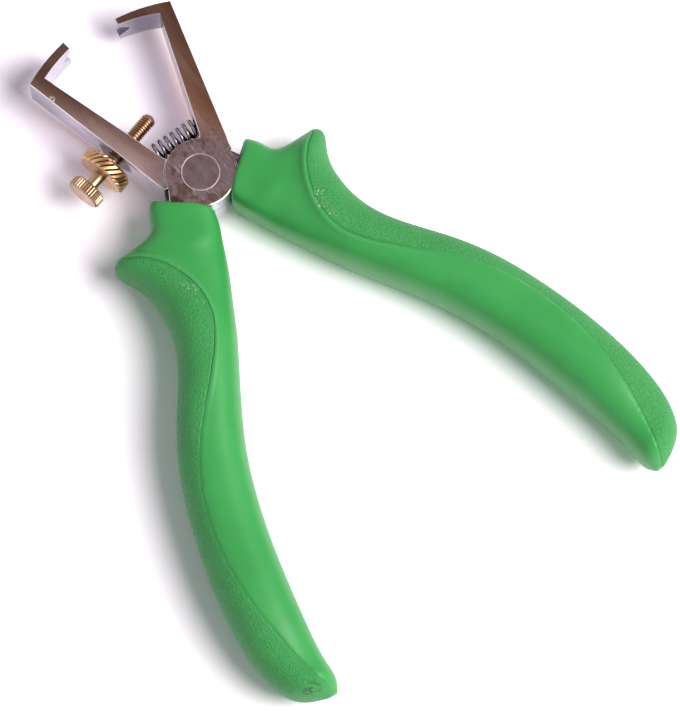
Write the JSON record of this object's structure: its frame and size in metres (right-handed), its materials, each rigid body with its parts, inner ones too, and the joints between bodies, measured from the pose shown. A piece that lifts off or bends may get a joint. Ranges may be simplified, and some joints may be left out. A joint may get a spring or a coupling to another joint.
{
  "type": "wire stripper",
  "caption": "Adjustable end wire-stripping pliers: lapped steel halves on a rivet, notched hook blades, opening spring, knurled stop screw with lock nut, and moulded grips.",
  "frame": {"origin": "on the pivot axis, at the flush underside of the rivet and the joint", "axes": "+Y from the pivot towards the jaws, midway between them; +Z along the pivot, up out of the face with the upper half; +X to the jaw of the upper half"},
  "size_m": [0.1102, 0.1558, 0.0192],
  "materials": {
    "polished_steel": "polished and plated, with fine ground edges",
    "rivet_steel": "ground flush with the joint",
    "spring_steel": "drawn spring wire",
    "brass": "turned and knurled",
    "grip_plastic": "smooth collar and inner side, fine matt grain on the palm side"
  },
  "bodies": {
    "lower_half": {"lower_half": "polished_steel", "pivot_rivet": "rivet_steel", "opening_spring": "spring_steel", "right_grip": "grip_plastic"},
    "upper_half": {"upper_half": "polished_steel", "left_grip": "grip_plastic"},
    "adjusting_screw": {"adjusting_screw": "brass"},
    "lock_nut": {"lock_nut": "brass"}
  },
  "joints": [
    {"name": "pivot", "type": "hinge", "parent": "lower_half", "child": "upper_half", "pos_m": [0, 0, 0.005], "axis": [0, 0, 1], "range_deg": [0, 22], "stiffness_Nm_per_rad": 0.45, "springref_deg": -11.46, "deforming": ["opening_spring"]},
    {"name": "screw_travel", "type": "slide", "parent": "lower_half", "child": "adjusting_screw", "axis": [0.9646, 0.2639, 0], "range_m": [-0.006, 0.0009]},
    {"name": "nut_travel", "type": "slide", "parent": "lower_half", "child": "lock_nut", "axis": [0.9646, 0.2639, 0], "range_m": [-0.002, 0.0019]}
  ]
}
